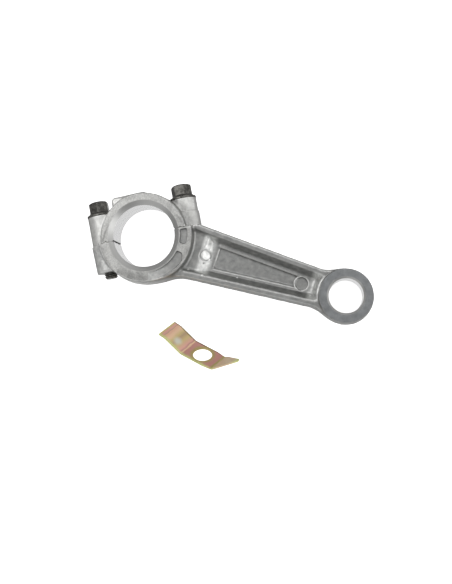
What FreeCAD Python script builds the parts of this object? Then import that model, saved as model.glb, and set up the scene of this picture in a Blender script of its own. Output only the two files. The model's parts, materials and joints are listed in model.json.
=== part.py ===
"""Die-cast connecting rod with a split big end, its bearing cap, two flange bolts and an oil dipper.

Millimetres. The rod lies flat with its bore axes along Z. The origin is the centre of the crankpin bore at
mid-thickness, and +X runs along the beam to the piston-pin bore. The cap meets the rod on an oblique split
plane through the crankpin's axis. Cap, lugs and bolts are drawn in the split frame, where X runs along the
split plane and Y points away from the rod, and are then turned into place.
"""

import FreeCAD, Part
import math
import os

V = FreeCAD.Vector

# Cutting tools run this far past the faces they open, or right past the whole rod
OVERRUN = 1.0
PAST_ALL = 60.0

# Bores, and the faces that run against the crank webs and the piston bosses
CENTRE_DISTANCE = 108.0
CRANK_BORE_R = 16.0
PIN_BORE_R = 8.75
FACE_Z = 11.0
CRANK_CHAMFER_R = 18.5
CRANK_CHAMFER_DEPTH = 1.9
PIN_CHAMFER_R = 9.7
PIN_CHAMFER_DEPTH = 0.8

# Split plane and bolts
SPLIT_ANGLE = 27.8
BOLT_OFFSET = 22.4
BOLT_SEAT = 15.6
SPLIT_RELIEF = 0.35

# Big end: outer radii at mid-thickness and at the faces, from the die's draft
ROD_RING_MID_R = 24.6
ROD_RING_FACE_R = 24.0
RIM_MID_R = 25.9
RIM_FACE_R = 25.4
RIM_LEFT = 12.0
RIM_LOW = -19.0
RIM_HIGH = 13.0
CAP_RING_MID_R = 22.9
CAP_RING_FACE_R = 22.2
ROD_LUG_R = 7.3
ROD_LUG_END = -14.5
CAP_LUG_R = 6.8
CAP_LUG_STEP_R = 7.1
CAP_LUG_STEP_TOP = 8.6
SPOT_FACE_R = 7.35
SHOULDER_OFFSET = 29.85

# Relief pockets in the faces of the big end, as angles from the beam's centre line
RELIEF_INNER_R = 19.3
RELIEF_OUTER_R = 23.7
RELIEF_DEPTH = 1.3
RELIEF_SECTORS = ((4.5, 23.0), (-34.0, -6.5))

# Stop pad on the back of the cap, in the split frame
PAD_LEFT = -14.6
PAD_RIGHT = 6.0
PAD_TOP = 23.7
PAD_RIGHT_TOP = 21.9
PAD_CREST_X = -1.0
PAD_HALF_HEIGHT = 6.4
PAD_BASE = 12.0
PAD_CORNER_R = 1.6
PAD_CREST_R = 12.0

# Beam: half width at mid-thickness falls evenly from the big end
BEAM_HALF_WIDTH_0 = 16.27
BEAM_TAPER = 0.0658
BEAM_Z = 8.0
BEAM_DRAFT = 1.0
RAIL_WIDTH = 2.2
RAIL_EDGE_R = 0.7
ROOT_TANGENT_ANGLE = -66.2
ROOT_SLOPE = 0.44
ROOT_FILLET_R = 45.0
FLARE_ANGLE = 121.0
BEAM_START_X = 6.0
ROOT_START_Y = -12.0

# Channels in the beam: root floor, slope, web, and the panel sunk in the web
CUT_OVERLAP = 0.4
CHANNEL_START = 12.0
ROOT_FLOOR_Z = 5.5
ROOT_SLOPE_START = 30.5
WEB_Z = 3.0
WEB_START = 38.0
WEB_WALL_DRAFT = 3.3
CHANNEL_END_R = 15.6
CHANNEL_CORNER_BACK = 2.0
WEB_END_R = 20.0
PANEL_Z = 2.0
PANEL_START = 40.0
PANEL_END = 82.5
PANEL_HALF_WIDTH_START = 5.9
PANEL_HALF_WIDTH_END = 3.1
PANEL_DRAFT = 0.6
PANEL_START_CORNER_R = 1.5
PANEL_END_CORNER_R = 2.0

# Ejector-pin marks, on the upper side only
ROOT_PAD_X = 33.7
ROOT_PAD_R = 3.0
ROOT_PAD_Z = 4.8
END_MARK_X = 84.6
END_MARK_R = 3.4
END_MARK_Z = 1.9

# Small end
SMALL_END_MID_R = 14.5
SMALL_END_FACE_R = 13.8

# Flange bolts, 7 mm thread. The head's own axis points away from its seat.
THREAD_R = 3.45
BOLT_HOLE_R = 3.5
BLIND_HOLE_END = -18.2
BOLT_LENGTH = 33.2
POINT_CHAMFER = 0.8
FLANGE_R = 7.0
FLANGE_RIM = 0.8
FLANGE_TOP = 1.9
HEX_ACROSS_FLATS = 9.5
HEAD_HEIGHT = 8.2
HEAD_CHAMFER = 0.9
HEAD_CHAMFER_RUN = 1.44
OUTER_HEX_TURN = 0.0
INNER_HEX_TURN = 22.0

# Oil dipper: a strip bent across its width. Its own frame has X to the tip and Z out of the upper side,
# with the origin at the centre of the hole.
DIPPER_THICKNESS = 0.9
DIPPER_WIDTH = 12.9
DIPPER_HOLE_R = 5.0
HOLE_TO_CREASE = 9.6
HOLE_TO_TIP_BEND = 10.2
RISER_LENGTH = 11.45
RISER_ANGLE = 25.0
TAB_LENGTH = 4.45
TAB_ANGLE = 8.0
TIP_LENGTH = 18.2
TIP_ANGLE = 35.0
TIP_TAPER_START = 5.0
TIP_SHOULDER = V(12.0, 5.5, 0)
TIP_SIDE_R = 8.0
BEND_R = 1.6
TIP_NOSE_R = 1.1
DIPPER_YAW = -8.9
DIPPER_PITCH = -22.0
DIPPER_ROLL = -46.0
DIPPER_HOLE_AT = V(46.0, -50.3, 0.0)


def turned(point, angle):
    """The point turned about Z by an angle in degrees."""
    return FreeCAD.Rotation(V(0, 0, 1), angle).multVec(point)


def in_split_frame(shape):
    """A shape drawn in the split frame, turned into the rod's frame."""
    return shape.rotate(V(0, 0, 0), V(0, 0, 1), SPLIT_ANGLE)


def both_faces(shape):
    """The shape and its mirror image in the mid-thickness plane, fused."""
    return shape.fuse(shape.mirror(V(0, 0, 0), V(0, 0, 1)))


def corner_arc(before, corner, after, radius):
    """Start, middle and end of the arc that rounds a corner."""
    back = (before - corner).normalize()
    ahead = (after - corner).normalize()
    half = back.getAngle(ahead) / 2
    bisector = (back + ahead).normalize()
    reach = radius / math.tan(half)
    middle = corner + bisector * (radius / math.sin(half) - radius)
    return corner + back * reach, middle, corner + ahead * reach


def rounded_outline(points, radii):
    """A closed wire through the points, with each corner rounded by its radius."""
    edges = []
    ends = []
    for i, corner in enumerate(points):
        if radii[i] > 0:
            before, after = points[i - 1], points[(i + 1) % len(points)]
            start, middle, end = corner_arc(before, corner, after, radii[i])
            edges.append(Part.Arc(start, middle, end).toShape())
            ends.append((start, end))
        else:
            ends.append((corner, corner))
    for i, (_, leave) in enumerate(ends):
        arrive = ends[(i + 1) % len(ends)][0]
        if (arrive - leave).Length > 1e-6:
            edges.append(Part.makeLine(leave, arrive))
    return Part.Wire(Part.__sortEdges__(edges))


def drafted_prism(outline, low, high, inset_low, inset_high):
    """A solid between two heights, whose outline shrinks by its inset."""
    wires = []
    for z, inset in ((low, inset_low), (high, inset_high)):
        wire = outline(inset)
        wire.translate(V(0, 0, z))
        wires.append(wire)
    return Part.makeLoft(wires, True, True)


def drafted_disc(mid_radius, face_radius, half_height):
    """A round boss that is widest at mid-thickness."""
    return both_faces(Part.makeCone(mid_radius, face_radius, half_height))


def chamfered_bore(radius, chamfer_radius, chamfer_depth):
    """The tool for a bore through both faces, with a chamfer at each."""
    bore = Part.makeCylinder(radius, 2 * (FACE_Z + OVERRUN), V(0, 0, -FACE_Z - OVERRUN))
    mouth = chamfer_radius + OVERRUN * (chamfer_radius - radius) / chamfer_depth
    cone = Part.makeCone(radius, mouth, chamfer_depth + OVERRUN, V(0, 0, FACE_Z - chamfer_depth))
    return bore.fuse(both_faces(cone))


def along_bolt(radius, start, end, offset):
    """A cylinder on a bolt's axis, in the split frame."""
    return Part.makeCylinder(radius, end - start, V(offset, start, 0), V(0, 1, 0))


def split_box(low_x, high_x, low_y, high_y):
    """A box right through the thickness, in the split frame."""
    corner = V(low_x, low_y, -FACE_Z - OVERRUN)
    return Part.makeBox(high_x - low_x, high_y - low_y, 2 * (FACE_Z + OVERRUN), corner)


def split_relief():
    """Small reliefs where the split plane opens into the crankpin bore."""
    size = 2 * SPLIT_RELIEF
    bars = []
    for side in (-1, 1):
        bar = Part.makeBox(size, size, 2 * FACE_Z, V(-size / 2, -size / 2, -FACE_Z))
        bar.rotate(V(0, 0, 0), V(0, 0, 1), 45)
        bar.translate(V(side * CRANK_BORE_R, 0, 0))
        bars.append(bar)
    return bars[0].fuse(bars[1])


def beam_half_width(x):
    """The beam's half width at mid-thickness, at a distance from the crankpin."""
    return BEAM_HALF_WIDTH_0 - BEAM_TAPER * x


def flare_points(inset):
    """Where the beam's side, if it ran on, meets the tangent of the small end, and that tangent's foot."""
    radius = SMALL_END_MID_R - inset
    angle = math.radians(FLARE_ANGLE)
    foot = V(CENTRE_DISTANCE + radius * math.cos(angle), radius * math.sin(angle), 0)
    slope = -1 / math.tan(angle)
    x = (beam_half_width(0) - inset - foot.y + slope * foot.x) / (slope + BEAM_TAPER)
    return V(x, beam_half_width(x) - inset, 0), foot


def beam_outline(inset):
    """Beam and root in plan. The lower side runs off the big end on a tangent."""
    corner, foot = flare_points(inset)
    interior = V(-1, BEAM_TAPER, 0).getAngle(foot - corner)
    flare_r = (foot - corner).Length * math.tan(interior / 2)
    ring_point = turned(V(ROD_RING_MID_R - inset, 0, 0), ROOT_TANGENT_ANGLE)
    drop = beam_half_width(0) - inset + ring_point.y - ROOT_SLOPE * ring_point.x
    root_x = -drop / (ROOT_SLOPE - BEAM_TAPER)
    root = V(root_x, inset - beam_half_width(root_x), 0)
    points = [
        V(BEAM_START_X, beam_half_width(BEAM_START_X) - inset, 0),
        corner,
        foot,
        V(foot.x, -foot.y, 0),
        V(corner.x, -corner.y, 0),
        root,
        ring_point,
        V(0, ROOT_START_Y, 0),
    ]
    return rounded_outline(points, [0, flare_r, 0, 0, flare_r, ROOT_FILLET_R, 0, 0])


def beam_blank():
    """The beam before its channels are cast in, with the rails' outer edges rounded."""
    half = drafted_prism(beam_outline, 0, BEAM_Z, 0, BEAM_DRAFT)
    top_edges = [edge for edge in half.Edges if edge.BoundBox.ZMin > BEAM_Z - 0.01]
    return both_faces(half.makeFillet(RAIL_EDGE_R, top_edges))


def channel_outline(side_inset, left, end_radius):
    """A channel between the rails, straight at the big end and round the small end at the other."""
    edge = BEAM_HALF_WIDTH_0 - BEAM_DRAFT - RAIL_WIDTH - side_inset
    reach = CENTRE_DISTANCE - end_radius
    near_half_end = edge - BEAM_TAPER * (reach - CHANNEL_CORNER_BACK)
    corner_x = CENTRE_DISTANCE - math.sqrt(end_radius**2 - near_half_end**2)
    half_end = edge - BEAM_TAPER * corner_x
    half_start = edge - BEAM_TAPER * left
    corners = [
        V(left, half_start, 0),
        V(corner_x, half_end, 0),
        V(corner_x, -half_end, 0),
        V(left, -half_start, 0),
    ]
    return Part.Wire(
        [
            Part.makeLine(corners[0], corners[1]),
            Part.Arc(corners[1], V(reach, 0, 0), corners[2]).toShape(),
            Part.makeLine(corners[2], corners[3]),
            Part.makeLine(corners[3], corners[0]),
        ]
    )


def channel_prism(low, high, left_low, left_high):
    """Part of the channel between two heights. Its walls lean back and its small end rises as it does."""
    wires = []
    for z, left in ((low, left_low), (high, left_high)):
        depth = (BEAM_Z - z) / (BEAM_Z - WEB_Z)
        end_radius = CHANNEL_END_R + depth * (WEB_END_R - CHANNEL_END_R)
        wire = channel_outline(depth * WEB_WALL_DRAFT, left, end_radius)
        wire.translate(V(0, 0, z))
        wires.append(wire)
    return Part.makeLoft(wires, True, True)


def panel_outline(inset):
    """The long panel sunk in the web."""
    left, right = PANEL_START + inset, PANEL_END - inset
    start, end = PANEL_HALF_WIDTH_START - inset, PANEL_HALF_WIDTH_END - inset
    points = [V(left, start, 0), V(right, end, 0), V(right, -end, 0), V(left, -start, 0)]
    start_r, end_r = PANEL_START_CORNER_R, PANEL_END_CORNER_R
    return rounded_outline(points, [start_r, end_r, end_r, start_r])


def channel():
    """Everything that is open between the rails on one side."""
    top = channel_prism(ROOT_FLOOR_Z, BEAM_Z + CUT_OVERLAP, CHANNEL_START, CHANNEL_START)
    ring = Part.makeCylinder(RIM_FACE_R, FACE_Z)
    lower = channel_prism(WEB_Z, ROOT_FLOOR_Z, WEB_START, ROOT_SLOPE_START)
    panel = drafted_prism(panel_outline, PANEL_Z, WEB_Z + CUT_OVERLAP, PANEL_DRAFT, 0.0)
    return top.cut(ring).fuse([lower, panel])


def relief_pockets():
    """Sunk sectors in one face of the big end, on the beam's side."""
    height = RELIEF_DEPTH + OVERRUN
    base = V(0, 0, FACE_Z - RELIEF_DEPTH)
    pockets = []
    for start, end in RELIEF_SECTORS:
        outer = Part.makeCylinder(RELIEF_OUTER_R, height, base, V(0, 0, 1), end - start)
        sector = outer.cut(Part.makeCylinder(RELIEF_INNER_R, height, base))
        sector.rotate(V(0, 0, 0), V(0, 0, 1), start)
        pockets.append(sector)
    return pockets[0].fuse(pockets[1])


def big_end_rod_half():
    """Rod side of the big end: ring, the rim that faces the beam, and the free lug."""
    ring = drafted_disc(ROD_RING_MID_R, ROD_RING_FACE_R, FACE_Z)
    rim = drafted_disc(RIM_MID_R, RIM_FACE_R, FACE_Z)
    beam_side = Part.makeBox(RIM_MID_R, RIM_HIGH - RIM_LOW, 2 * FACE_Z, V(RIM_LEFT, RIM_LOW, -FACE_Z))
    rim = rim.common(beam_side)
    lug = along_bolt(ROD_LUG_R, ROD_LUG_END, 0, -BOLT_OFFSET)
    return ring.fuse([rim, in_split_frame(lug)])


def small_end():
    """The boss round the piston pin, before its bore."""
    boss = drafted_disc(SMALL_END_MID_R, SMALL_END_FACE_R, FACE_Z)
    boss.translate(V(CENTRE_DISTANCE, 0, 0))
    return boss


def rod_body():
    """The rod casting: blanks fused, channels and pockets sunk, then the split, the holes and the bores."""
    blank = beam_blank().fuse([big_end_rod_half(), small_end()])
    pin_bore = chamfered_bore(PIN_BORE_R, PIN_CHAMFER_R, PIN_CHAMFER_DEPTH)
    pin_bore.translate(V(CENTRE_DISTANCE, 0, 0))
    end_mark = Part.makeCylinder(END_MARK_R, FACE_Z, V(END_MARK_X, 0, END_MARK_Z))
    root_pad = Part.makeCylinder(ROOT_PAD_R, ROOT_PAD_Z, V(ROOT_PAD_X, 0, 0))
    blank = blank.cut([both_faces(channel()), both_faces(relief_pockets()), end_mark])
    blank = blank.fuse(root_pad)
    machining = [
        split_box(-PAST_ALL, SHOULDER_OFFSET, 0, PAST_ALL),
        along_bolt(BOLT_HOLE_R, -PAST_ALL, 0, -BOLT_OFFSET),
        along_bolt(BOLT_HOLE_R, BLIND_HOLE_END, OVERRUN, BOLT_OFFSET),
        split_relief(),
    ]
    cuts = [in_split_frame(tool) for tool in machining]
    cuts += [chamfered_bore(CRANK_BORE_R, CRANK_CHAMFER_R, CRANK_CHAMFER_DEPTH), pin_bore]
    return blank.cut(cuts).removeSplitter()


def stop_pad():
    """Raised pad across the back of the cap, with a round end beside the free lug's bolt head."""
    points = [
        V(PAD_LEFT, PAD_BASE, 0),
        V(PAD_LEFT, PAD_TOP, 0),
        V(PAD_CREST_X, PAD_TOP, 0),
        V(PAD_RIGHT, PAD_RIGHT_TOP, 0),
        V(PAD_RIGHT, PAD_BASE, 0),
    ]
    outline = rounded_outline(points, [0, PAD_CORNER_R, PAD_CREST_R, 0, 0])
    pad = Part.Face(outline).extrude(V(0, 0, 2 * PAD_HALF_HEIGHT))
    pad.translate(V(0, 0, -PAD_HALF_HEIGHT))
    return pad


def bearing_cap():
    """The cap casting: half a ring with two lugs and the stop pad, then its bore, holes and spot faces."""
    ring = drafted_disc(CAP_RING_MID_R, CAP_RING_FACE_R, FACE_Z)
    half = ring.common(split_box(-PAST_ALL, PAST_ALL, 0, PAST_ALL))
    lugs = [along_bolt(CAP_LUG_R, 0, BOLT_SEAT, side * BOLT_OFFSET) for side in (-1, 1)]
    step = along_bolt(CAP_LUG_STEP_R, 0, CAP_LUG_STEP_TOP, BOLT_OFFSET)
    blank = half.fuse(lugs + [step, stop_pad()])
    cuts = [chamfered_bore(CRANK_BORE_R, CRANK_CHAMFER_R, CRANK_CHAMFER_DEPTH), split_relief()]
    for side in (-1, 1):
        cuts.append(along_bolt(BOLT_HOLE_R, -OVERRUN, PAST_ALL, side * BOLT_OFFSET))
        cuts.append(along_bolt(SPOT_FACE_R, BOLT_SEAT, PAST_ALL, side * BOLT_OFFSET))
    return in_split_frame(blank.cut(cuts).removeSplitter())


def hexagon(across_flats, turn):
    """A closed hexagon round the origin, with one corner at an angle from +X."""
    radius = across_flats / math.sqrt(3)
    corners = [turned(V(radius, 0, 0), turn + 60 * i) for i in range(6)]
    return Part.makePolygon(corners + corners[:1])


def flange_bolt(hex_turn):
    """A hexagon flange bolt, its seat at Z = 0 and its thread below."""
    shank = Part.makeCylinder(THREAD_R, BOLT_LENGTH - POINT_CHAMFER, V(0, 0, POINT_CHAMFER - BOLT_LENGTH))
    point = Part.makeCone(THREAD_R - POINT_CHAMFER, THREAD_R, POINT_CHAMFER, V(0, 0, -BOLT_LENGTH))
    rim = Part.makeCylinder(FLANGE_R, FLANGE_RIM)
    hex_radius = HEX_ACROSS_FLATS / math.sqrt(3)
    skirt = Part.makeCone(FLANGE_R, hex_radius, FLANGE_TOP - FLANGE_RIM, V(0, 0, FLANGE_RIM))
    prism = Part.Face(hexagon(HEX_ACROSS_FLATS, hex_turn)).extrude(V(0, 0, HEAD_HEIGHT))
    shoulder = HEAD_HEIGHT - HEAD_CHAMFER
    crown = Part.makeCone(hex_radius, hex_radius - HEAD_CHAMFER_RUN, HEAD_CHAMFER, V(0, 0, shoulder))
    head = prism.common(Part.makeCylinder(hex_radius, shoulder).fuse(crown))
    return shank.fuse([point, rim, skirt, head]).removeSplitter()


def seated_bolt(offset, hex_turn):
    """A bolt on its seat. Zero hex turn puts a corner of the head towards +Z."""
    bolt = flange_bolt(hex_turn)
    bolt.rotate(V(0, 0, 0), V(1, 0, 0), -90)
    bolt.rotate(V(0, 0, 0), V(0, 1, 0), 90)
    bolt.translate(V(offset, BOLT_SEAT, 0))
    return in_split_frame(bolt)


def strip_corners():
    """The dipper's centre line from tab to tip, as points in its own X and Z."""
    riser, tab, tip = (math.radians(a) for a in (RISER_ANGLE, TAB_ANGLE, TIP_ANGLE))
    crease = V(-HOLE_TO_CREASE, 0, 0)
    shoulder = crease + V(-math.cos(riser), math.sin(riser), 0) * RISER_LENGTH
    end = shoulder + V(-math.cos(tab), math.sin(tab), 0) * TAB_LENGTH
    bend = V(HOLE_TO_TIP_BEND, 0, 0)
    nose = bend + V(math.cos(tip), math.sin(tip), 0) * TIP_LENGTH
    return [end, shoulder, crease, bend, nose]


def strip_side(points, offset):
    """One side of the bent strip: its corners and their radii, at a distance from the centre line."""
    runs = [(b - a).normalize() for a, b in zip(points, points[1:])]
    normals = [turned(run, 90) for run in runs]
    corners = [points[0] + normals[0] * offset]
    radii = [0]
    for i in range(1, len(runs)):
        first, second = normals[i - 1], normals[i]
        corners.append(points[i] + (first + second) * (offset / (1 + first.dot(second))))
        turns_left = runs[i - 1].cross(runs[i]).z > 0
        radii.append(BEND_R - offset if turns_left else BEND_R + offset)
    return corners + [points[-1] + normals[-1] * offset], radii + [0]


def dipper_blank():
    """The bent strip at full width."""
    upper, upper_radii = strip_side(strip_corners(), DIPPER_THICKNESS / 2)
    lower, lower_radii = strip_side(strip_corners(), -DIPPER_THICKNESS / 2)
    outline = rounded_outline(upper + lower[::-1], upper_radii + lower_radii[::-1])
    strip = Part.Face(outline).extrude(V(0, 0, DIPPER_WIDTH))
    strip.rotate(V(0, 0, 0), V(1, 0, 0), 90)
    strip.translate(V(0, DIPPER_WIDTH / 2, 0))
    return strip


def dipper_plan():
    """The dipper's outline seen square to its plate: a strip that runs out to a blunt point."""
    nose = HOLE_TO_TIP_BEND + TIP_LENGTH * math.cos(math.radians(TIP_ANGLE))
    side = [V(-PAST_ALL, DIPPER_WIDTH / 2, 0), V(TIP_TAPER_START, DIPPER_WIDTH / 2, 0), TIP_SHOULDER]
    other_side = [V(point.x, -point.y, 0) for point in side]
    radii = [0, TIP_SIDE_R, TIP_SIDE_R]
    return rounded_outline(side + [V(nose, 0, 0)] + other_side[::-1], radii + [TIP_NOSE_R] + radii[::-1])


def oil_dipper():
    """The bent strip trimmed to its plan, turned as it lies, with its lowest point level with the rod's."""
    plan = Part.Face(dipper_plan()).extrude(V(0, 0, 2 * PAST_ALL))
    plan.translate(V(0, 0, -PAST_ALL))
    hole_tool = 2 * (DIPPER_THICKNESS + OVERRUN)
    hole = Part.makeCylinder(DIPPER_HOLE_R, hole_tool, V(0, 0, -hole_tool / 2))
    dipper = dipper_blank().common(plan).cut(hole)
    turn = FreeCAD.Rotation(DIPPER_YAW, DIPPER_PITCH, DIPPER_ROLL)
    dipper.Placement = FreeCAD.Placement(DIPPER_HOLE_AT, turn).multiply(dipper.Placement)
    dipper.translate(V(0, 0, -FACE_Z - dipper.optimalBoundingBox().ZMin))
    return dipper


def main():
    """Builds the five pieces and writes each to its own file."""
    nodes = {
        "rod_body": rod_body(),
        "bearing_cap": bearing_cap(),
        "cap_bolt_outer": seated_bolt(-BOLT_OFFSET, OUTER_HEX_TURN),
        "cap_bolt_inner": seated_bolt(BOLT_OFFSET, INNER_HEX_TURN),
        "oil_dipper": oil_dipper(),
    }
    os.makedirs("parts", exist_ok=True)
    for name, shape in nodes.items():
        box = shape.optimalBoundingBox()
        print(name, shape.isValid(), len(shape.Solids), round(shape.Volume, 1), box)
        shape.exportStep(f"parts/{name}.step")


main()
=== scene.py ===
"""Looks of a die-cast connecting rod: castings, black flange bolts and a zinc-plated oil dipper.

Castings and bolt heads are drawn as distance fields in millimetres (negative inside), which blend into one
another with the soft fillets of a real casting, and are then meshed. Machined surfaces are cut out of the
castings afterwards, as they are on the real part, so they stay flat and true. The dipper is the CAD's own
solid with its edges eased.
"""

import json
import math

import bpy
import numpy as np
from mathutils import Matrix, Vector


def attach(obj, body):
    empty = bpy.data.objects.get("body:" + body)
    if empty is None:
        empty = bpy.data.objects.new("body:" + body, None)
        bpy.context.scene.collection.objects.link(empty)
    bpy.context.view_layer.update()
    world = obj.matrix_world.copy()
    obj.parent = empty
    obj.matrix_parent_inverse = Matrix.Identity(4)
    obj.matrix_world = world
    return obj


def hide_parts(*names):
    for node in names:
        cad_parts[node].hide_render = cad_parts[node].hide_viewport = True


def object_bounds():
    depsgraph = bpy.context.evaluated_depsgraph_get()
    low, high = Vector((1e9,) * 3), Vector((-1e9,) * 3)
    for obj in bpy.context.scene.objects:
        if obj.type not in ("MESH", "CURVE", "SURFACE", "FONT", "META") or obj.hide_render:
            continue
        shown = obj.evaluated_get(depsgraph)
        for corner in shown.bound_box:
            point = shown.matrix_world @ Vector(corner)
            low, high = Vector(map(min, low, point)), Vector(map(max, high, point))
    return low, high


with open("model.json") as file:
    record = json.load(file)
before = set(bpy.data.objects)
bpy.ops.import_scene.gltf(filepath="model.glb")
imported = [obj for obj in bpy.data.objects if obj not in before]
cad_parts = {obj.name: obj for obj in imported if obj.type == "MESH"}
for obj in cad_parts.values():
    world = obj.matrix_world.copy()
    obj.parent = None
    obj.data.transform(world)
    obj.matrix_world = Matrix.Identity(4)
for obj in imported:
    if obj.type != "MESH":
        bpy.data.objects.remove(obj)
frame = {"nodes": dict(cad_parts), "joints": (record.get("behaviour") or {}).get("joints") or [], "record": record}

MM = 0.001
CAD_BOX = [list(corner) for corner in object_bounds()]
MOUNTS = {mount["name"]: mount for mount in frame["record"]["mounts"]}
JOINTS = {joint["name"]: joint for joint in frame["joints"]}

# Sizes from the frame, in millimetres
CRANK_R = MOUNTS["crankpin_bore"]["dims"]["r_mm"]
CRANK_WALL = MOUNTS["crankpin_bore"]["dims"]["length_mm"]
PIN_R = MOUNTS["piston_pin_bore"]["dims"]["r_mm"]
PIN_WALL = MOUNTS["piston_pin_bore"]["dims"]["length_mm"]
PIN_X = MOUNTS["piston_pin_bore"]["pos_m"][0] / MM
FACE_Z = MOUNTS["big_end_side_face"]["pos_m"][2] / MM
OUTWARD = Vector(JOINTS["cap_lift"]["axis"])
SPLIT_TURN = math.atan2(-OUTWARD.x, OUTWARD.y)
BOLT_SEAT = Vector(JOINTS["inner_bolt_turn"]["pos_m"]).dot(OUTWARD) / MM
BOLT_OFFSET = Vector(JOINTS["inner_bolt_turn"]["pos_m"]).cross(OUTWARD).z / MM
DIPPER_HOLE_R = MOUNTS["dipper_hole"]["dims"]["r_mm"]

# Both castings. STOCK is what stands above the side faces before they are cut. The skin's unevenness is given
# as (height, size), and the flash line round the outside fades out over a stretch at the small end's tip.
SKIN_BUMPS = ((0.05, 3.1), (0.03, 1.3))
FLASH_HEIGHT = 0.12
FLASH_RAGGED = (0.08, 2.2)
FLASH_HALF_WIDTH = 0.45
FLASH_FADE_X = (117.0, 121.5)
DRAFT = 0.055
STOCK = 0.3
EDGE_ROUND = 1.5
CRANK_CHAMFER_R = 18.5
PIN_CHAMFER_R = 9.7
BOLT_HOLE_R = 3.5
BLIND_HOLE_END = -18.2

# Beam, root and small end
ROD_STEP = 0.4
SMALL_END_R = 14.5
BEAM_HALF_WIDTH = 16.27
BEAM_TAPER = 0.0658
BEAM_LOW = 0.25
BEAM_DRAFT = 0.09
BEAM_Z = 8.0
RAIL_WIDTH = 3.2
CHANNEL_LEAN = 0.66
CHANNEL_END_R = 14.9
CHANNEL_END_LEAN = 0.48
ROOT_FLOOR_Z = 5.5
SLOPE_START_X = 31.2
SLOPE_START_SKEW = 0.15
SLOPE_END_X = 36.6
SLOPE_END_SKEW = -0.268
WEB_Z = 3.0
PANEL_Z = 2.1
PANEL_START_X = 39.0
PANEL_END_X = 82.0
PANEL_HALF_WIDTH = 8.5
PANEL_TAPER = 0.0667
BEAD_R = 0.95

# Big end: the rim on the beam's side, and the sunk pockets as (degrees, outer radius) along each
ROD_RING_R = 24.5
RIM_EXTRA_R = 1.3
POCKET_INNER_R = 19.1
POCKET_DEPTH = 1.4
POCKET_SHALLOWING = 1.6
UPPER_POCKET = ((4.6, 22.6), (26.0, 23.0))
LOWER_POCKET = ((-76.0, 23.0), (-60.0, 23.3), (-34.0, 23.5), (-16.0, 24.0), (-7.6, 22.3))
ROD_LUG_R = 7.3
ROD_LUG_END = -14.5
SHOULDER_OFFSET = 29.85

# Cap
CAP_STEP = 0.34
CAP_RING_R = 22.9
CAP_LUG_R = 6.8
SPOT_FACE_R = 7.35
SEAT_CLEARANCE = 0.02
PAD_TOP = 23.7
PAD_LEFT = -14.6
PAD_RIGHT = 4.0
PAD_HALF_HEIGHT = 6.6

# The cracked split: its gap, its mean height above the split plane, and its waves as (height, radians per mm
# along the split, radians per mm through the rod, phase)
SEAM_GAP = 0.08
SEAM_LEVEL = 0.45
SEAM_WAVES = ((0.24, 1.9, 0.8, 0.0), (0.18, 4.1, -1.7, 1.0))

# Ejector marks on the upper side, as places in plan
ROOT_MARK_AT = (33.1, -0.5)
END_MARK_AT = (84.6, -0.3)
DIMPLE_AT = (33.3, -4.6)

# Cap bolts
HEAD_STEP = 0.2
HEX_AF = 9.5
HEAD_HEIGHT = 8.2
FLANGE_R = 7.0
FLANGE_RIM = 1.2
CROWN_R = 5.05
CROWN_DROP = 0.75
CONE_NORMAL = (0.42, 0.9)
SHANK_R = 3.45
SHANK_LENGTH = 33.2
POINT_LENGTH = 0.9
POINT_SLOPE = 0.9
THREAD_PITCH = 1.0
THREAD_DEPTH = 0.5
THREAD_CREST = 0.12
THREAD_FLANK = 0.8
THREAD_START = 8.0
OUTER_HEX_TURN = 0.0
INNER_HEX_TURN = 22.0


# ---------------------------------------------------------------- distance fields

class Grid:
    """Sample points of a box, kept as three axes that broadcast against one another."""

    def __init__(self, low, high, step):
        self.low = np.array(low, float)
        self.step = step
        axes = [np.arange(a, b + step, step, dtype=np.float32) for a, b in zip(low, high)]
        self.x = axes[0][:, None, None]
        self.y = axes[1][None, :, None]
        self.z = axes[2][None, None, :]
        self.shape = tuple(len(axis) for axis in axes)


def union(a, b, fillet=0.0):
    """Either field, with a fillet of about that size where they meet."""
    if fillet == 0:
        return np.minimum(a, b)
    share = np.clip(0.5 + 0.5 * (b - a) / fillet, 0, 1)
    return b + (a - b) * share - fillet * share * (1 - share)


def common(a, b, edge=0.0):
    """Inside both fields, with the shared edge rounded."""
    return -union(-a, -b, edge)


def cut(a, b, edge=0.0):
    """The first field without the second, with the shared edge rounded."""
    return common(a, -b, edge)


def ramp(value, start, end):
    """Rises smoothly from 0 at start to 1 at end."""
    t = np.clip((value - start) / (end - start), 0, 1)
    return t * t * (3 - 2 * t)


def lattice_noise(grid, size, seed):
    """Smooth noise between -1 and 1 whose bumps are about that size."""
    rng = np.random.default_rng(seed)
    weights = []
    for axis in (grid.x, grid.y, grid.z):
        places = (axis.ravel() - axis.min()) / size
        cell = np.floor(places).astype(int)
        part = places - cell
        part = part * part * (3 - 2 * part)
        weight = np.zeros((len(places), cell.max() + 2), np.float32)
        weight[np.arange(len(places)), cell] = 1 - part
        weight[np.arange(len(places)), cell + 1] = part
        weights.append(weight)
    values = rng.uniform(-1, 1, [w.shape[1] for w in weights]).astype(np.float32)
    for weight in weights:
        values = np.tensordot(values, weight, axes=([0], [1]))
    return values


def edge_crossings(field, cells):
    """Sum and count of the points where the surface crosses each cell's twelve edges."""
    total = np.zeros((len(cells), 3))
    count = np.zeros(len(cells))
    for axis in range(3):
        others = [a for a in range(3) if a != axis]
        for corner in ((0, 0), (0, 1), (1, 0), (1, 1)):
            start = cells.copy()
            start[:, others] += corner
            end = start.copy()
            end[:, axis] += 1
            f0, f1 = field[tuple(start.T)], field[tuple(end.T)]
            crossed = (f0 < 0) != (f1 < 0)
            place = (start - cells).astype(float)
            place[:, axis] += np.where(crossed, f0 / np.where(crossed, f0 - f1, 1), 0)
            total[crossed] += place[crossed]
            count += crossed
    return total, count


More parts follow.
